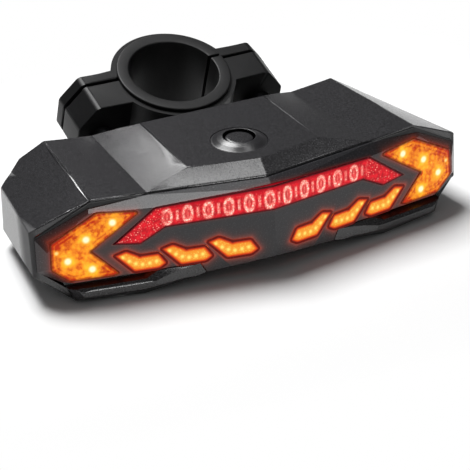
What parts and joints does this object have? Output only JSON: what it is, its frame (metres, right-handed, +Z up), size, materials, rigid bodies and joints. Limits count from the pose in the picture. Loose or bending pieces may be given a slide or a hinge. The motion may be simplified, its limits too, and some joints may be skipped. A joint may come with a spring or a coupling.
{
  "type": "bicycle turn signal light",
  "caption": "Bicycle tail light with turn arrows, running chevrons and a red brake bar in a faceted case, on a tilting split clamp for the seatpost.",
  "frame": {"origin": "centre of the whole part in X and Y, at the height of the case's lowest pads, so that the part stands on Z = 0", "axes": "+Z up, the lit front faces -Y, +X runs along the lamp, to the right for someone who looks at the lit front"},
  "size_m": [0.1606, 0.1054, 0.0483],
  "materials": {
    "case": "fine-grained moulding",
    "panel": "semi-gloss",
    "red_lens": "prismatic, translucent",
    "amber_lens": "prismatic, translucent",
    "clear_orange": "clear window",
    "clamp": "satin moulding",
    "rubber": "soft, matt",
    "steel": "zinc plated",
    "black_steel": "blackened",
    "board": "solder mask",
    "led": "cast resin",
    "baffle": "white reflector",
    "cell": "foil pouch",
    "siren": "moulded case",
    "switch": "moulded case"
  },
  "bodies": {
    "lamp": {"upper_housing": "case", "lower_housing": "case", "front_panel": "panel", "front_gasket": "rubber", "brake_lens": "red_lens", "arrow_lens_left": "amber_lens", "arrow_lens_right": "amber_lens", "chevron_lens_left": "clear_orange", "chevron_lens_right": "clear_orange", "light_baffle": "baffle", "led_board_left": "board", "led_board_right": "board", "signal_leds_left": "led", "signal_leds_right": "led", "chevron_leds_left": "led", "chevron_leds_right": "led", "brake_leds": "led", "button_ring": "panel", "tact_switch": "switch", "button_seal": "rubber", "control_board": "board", "battery_cell": "cell", "siren": "siren", "case_screws": "steel", "board_screws": "steel", "charging_port": "steel", "charging_board": "board", "hinge_bracket": "clamp", "bracket_screws": "steel", "pivot_screw": "black_steel", "pivot_nut": "steel"},
    "clamp": {"clamp_liner": "rubber", "clamp_front": "clamp", "clamp_rear": "clamp", "clamp_screws": "black_steel", "clamp_nuts": "steel"},
    "button": {"power_button": "panel", "switch_plunger": "switch"},
    "plug": {"port_plug": "rubber"}
  },
  "joints": [
    {"name": "clamp_tilt", "type": "hinge", "parent": "lamp", "child": "clamp", "pos_m": [0, 0.00484, 0.0145], "axis": [-1, 0, 0], "range_deg": [-2, 24]},
    {"name": "button_press", "type": "slide", "parent": "lamp", "child": "button", "axis": [0, 0, -1], "range_m": [0, 0.0008], "stiffness_N_per_m": 500, "springref_m": -0.001},
    {"name": "plug_swing", "type": "hinge", "parent": "lamp", "child": "plug", "pos_m": [0.05341, 0.00934, 0.018], "axis": [0, 0, -1], "range_deg": [0, 95]}
  ]
}
